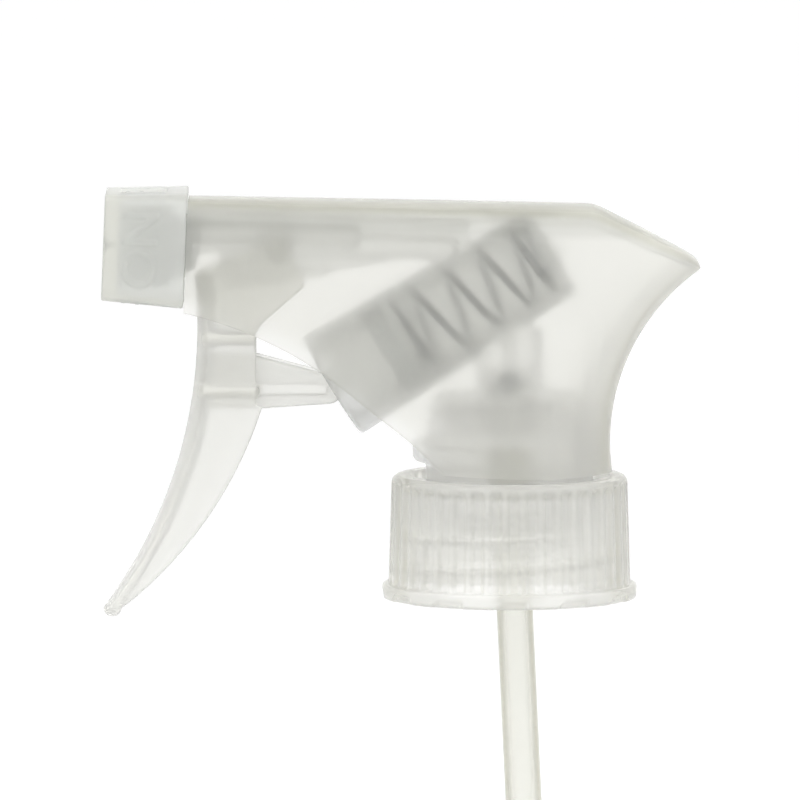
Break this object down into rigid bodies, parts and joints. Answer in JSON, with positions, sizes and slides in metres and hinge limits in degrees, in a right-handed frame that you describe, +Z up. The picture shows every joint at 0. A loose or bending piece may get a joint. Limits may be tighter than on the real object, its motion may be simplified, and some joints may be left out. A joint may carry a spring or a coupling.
{
  "type": "trigger sprayer head",
  "caption": "Translucent trigger sprayer head with a square turning nozzle, curved finger lever, tilted piston pump, ribbed screw cap and long dip tube.",
  "frame": {"origin": "centre of the cap's open lower rim, on the axis of the bottle neck", "axes": "+Z up along the cap's axis, -X the way the sprayer sprays, Y across its width"},
  "size_m": [0.0802, 0.0342, 0.2248],
  "materials": {
    "natural_pp": "translucent natural polypropylene with a fine moulded haze",
    "clear_cap": "clearer natural polypropylene with polished ribs",
    "tubing": "smooth extruded polyethylene tubing",
    "white_plastic": "white polyethylene",
    "soft_seal": "soft pale elastomer",
    "spring_steel": "drawn stainless wire",
    "ball_steel": "polished stainless ball"
  },
  "bodies": {
    "closure": {"screw_cap": "clear_cap"},
    "head": {"shroud": "natural_pp", "pump_body": "natural_pp", "cylinder_plug": "white_plastic", "spinner": "white_plastic", "discharge_valve": "soft_seal", "tube_retainer": "white_plastic", "neck_gasket": "soft_seal", "dip_tube": "tubing", "return_spring": "spring_steel"},
    "lever": {"trigger": "natural_pp"},
    "plunger": {"piston": "white_plastic", "piston_seal": "soft_seal"},
    "nozzle": {"nozzle_cap": "natural_pp"},
    "check_ball": {"inlet_ball": "ball_steel"}
  },
  "joints": [
    {"name": "head_swivel", "type": "hinge", "parent": "closure", "child": "head", "pos_m": [0, 0, 0.013], "axis": [0, 0, 1], "continuous": true},
    {"name": "trigger_pull", "type": "hinge", "parent": "head", "child": "lever", "pos_m": [-0.0313, 0, 0.047], "axis": [0, -1, 0], "range_deg": [0, 20], "stiffness_Nm_per_rad": 0.25, "springref_deg": -20.05},
    {"name": "piston_slide", "type": "slide", "parent": "head", "child": "plunger", "axis": [0.8526, 0, 0.5225], "range_m": [0, 0.007], "deforming": ["return_spring"]},
    {"name": "nozzle_turn", "type": "hinge", "parent": "head", "child": "nozzle", "pos_m": [-0.0433, 0, 0.04715], "axis": [-0.9992, 0, 0.0401], "continuous": true},
    {"name": "ball_lift", "type": "slide", "parent": "head", "child": "check_ball", "axis": [0, 0, 1], "range_m": [0, 0.0005]}
  ],
  "couplings": [
    {"joint": "piston_slide", "follows": "trigger_pull", "m_per_rad": 0.01994}
  ]
}
